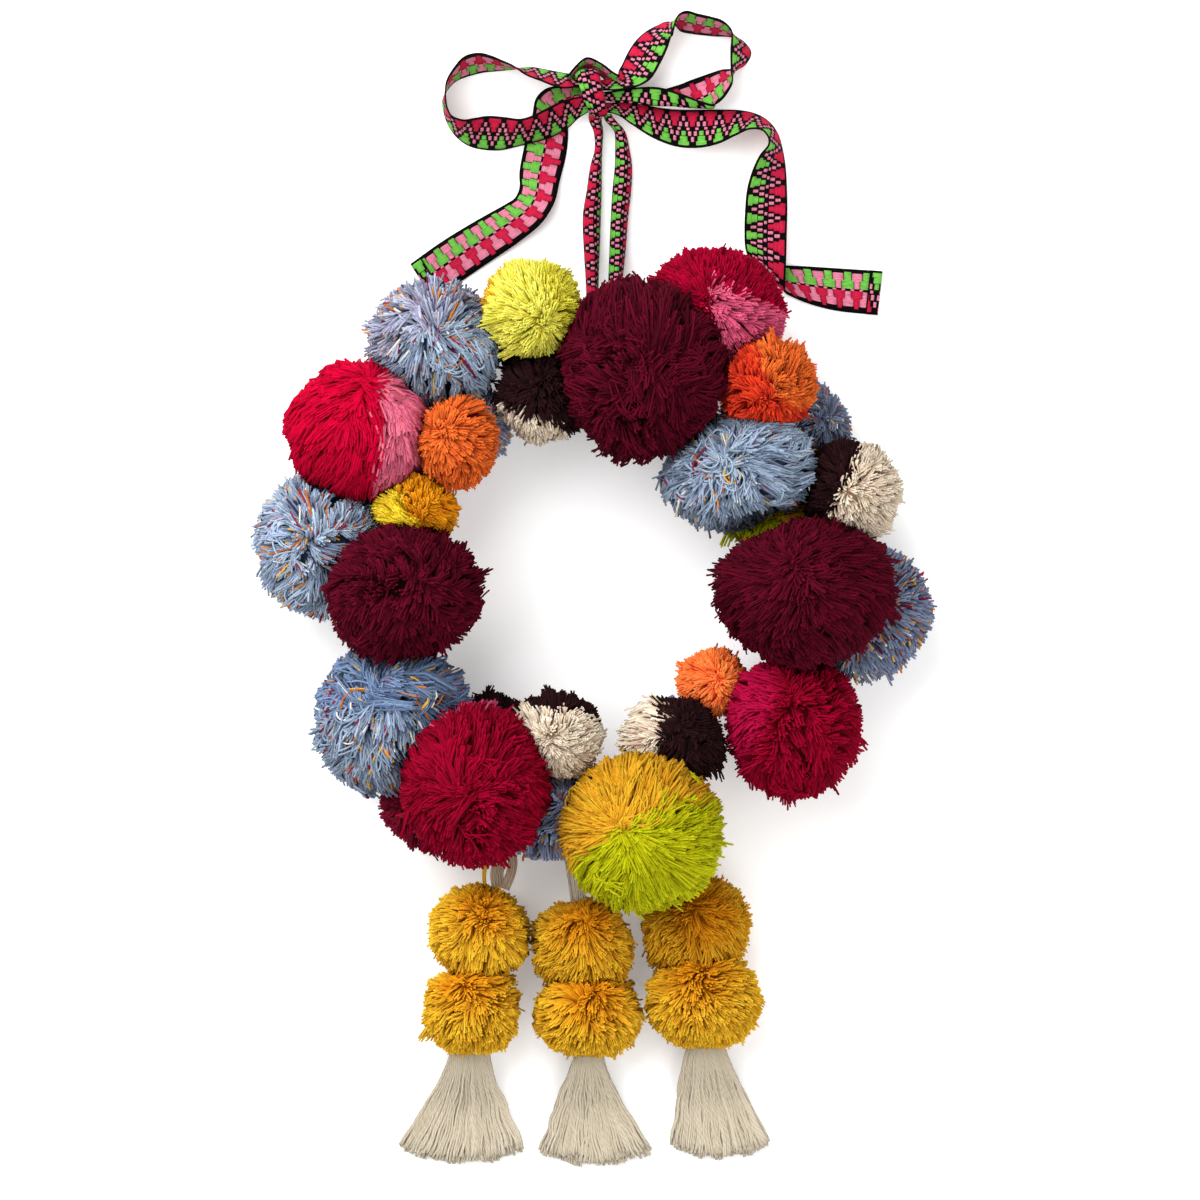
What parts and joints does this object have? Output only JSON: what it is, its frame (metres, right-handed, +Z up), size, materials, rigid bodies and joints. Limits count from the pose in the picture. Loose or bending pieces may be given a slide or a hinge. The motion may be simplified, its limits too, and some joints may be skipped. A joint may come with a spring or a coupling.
{
  "type": "pompom wreath",
  "caption": "Round wreath of wool pompoms for a wall or door, with pompom and fringe tassels below it and a woven ribbon bow above it to hang it by.",
  "frame": {"origin": "middle of the bounding box at its lowest level, on the surface that the wreath lies on with its back", "axes": "+Y from the tassels towards the bow, +Z up from the surface through the front of the wreath, +X to the right as seen from the front"},
  "size_m": [0.3394, 0.5762, 0.1137],
  "materials": {
    "woven_ribbon": "woven cotton ribbon, black with pink, green and red blocks",
    "yarn_blue": "cut wool yarn pile, light blue with flecks",
    "yarn_brown": "cut wool yarn pile, matt",
    "yarn_burgundy": "cut wool yarn pile, matt",
    "yarn_cream": "cut wool yarn pile, matt",
    "yarn_lime": "cut wool yarn pile, matt",
    "yarn_maroon": "cut wool yarn pile, matt",
    "yarn_mustard": "cut wool yarn pile, matt",
    "yarn_orange": "cut wool yarn pile, matt",
    "yarn_pink": "cut wool yarn pile, matt",
    "yarn_red": "cut wool yarn pile, matt",
    "yarn_yellow": "cut wool yarn pile, matt"
  },
  "bodies": {
    "root": {"pom01_yellow": "yarn_yellow", "pom02_brown_white": "yarn_brown", "pom03_maroon": "yarn_maroon", "pom04_red_pink": "yarn_red", "pom05_orange": "yarn_orange", "pom06_blue": "yarn_blue", "pom07_blue": "yarn_blue", "pom08_brown_cream": "yarn_cream", "pom09_lime": "yarn_lime", "pom10_maroon": "yarn_maroon", "pom11_blue": "yarn_blue", "pom12_red_pink": "yarn_red", "pom13_orange": "yarn_orange", "pom14_brown_white": "yarn_brown", "pom15_mustard_lime": "yarn_lime", "pom16_cream_brown": "yarn_cream", "pom17_blue": "yarn_blue", "pom18_red": "yarn_red", "pom19_burgundy": "yarn_burgundy", "pom20_blue": "yarn_blue", "pom21_maroon": "yarn_maroon", "pom22_mustard": "yarn_mustard", "pom23_blue": "yarn_blue", "pom24_red_pink": "yarn_red", "pom25_orange": "yarn_orange", "pom26_blue": "yarn_blue", "pom27_blue": "yarn_blue", "pom28_maroon": "yarn_maroon", "back01_maroon": "yarn_maroon", "back02_blue": "yarn_blue", "back03_mustard": "yarn_mustard", "back04_red": "yarn_red", "back05_cream": "yarn_cream", "back06_red": "yarn_red", "back07_pink": "yarn_pink", "back08_blue": "yarn_blue", "back09_brown": "yarn_brown", "tassel_left_pom_top": "yarn_mustard", "tassel_left_pom_low": "yarn_mustard", "tassel_mid_pom_top": "yarn_mustard", "tassel_mid_pom_low": "yarn_mustard", "tassel_right_pom_top": "yarn_mustard", "tassel_right_pom_low": "yarn_mustard", "tassel_left_fringe": "yarn_cream", "tassel_mid_fringe": "yarn_cream", "tassel_right_fringe": "yarn_cream", "tie_left": "yarn_cream", "tie_mid": "yarn_cream", "tie_right": "yarn_cream", "ribbon_knot": "woven_ribbon", "ribbon_loop_left": "woven_ribbon", "ribbon_loop_right": "woven_ribbon", "ribbon_tail_left": "woven_ribbon", "ribbon_tail_right": "woven_ribbon", "ribbon_hanger_left": "woven_ribbon", "ribbon_hanger_right": "woven_ribbon"}
  },
  "joints": []
}
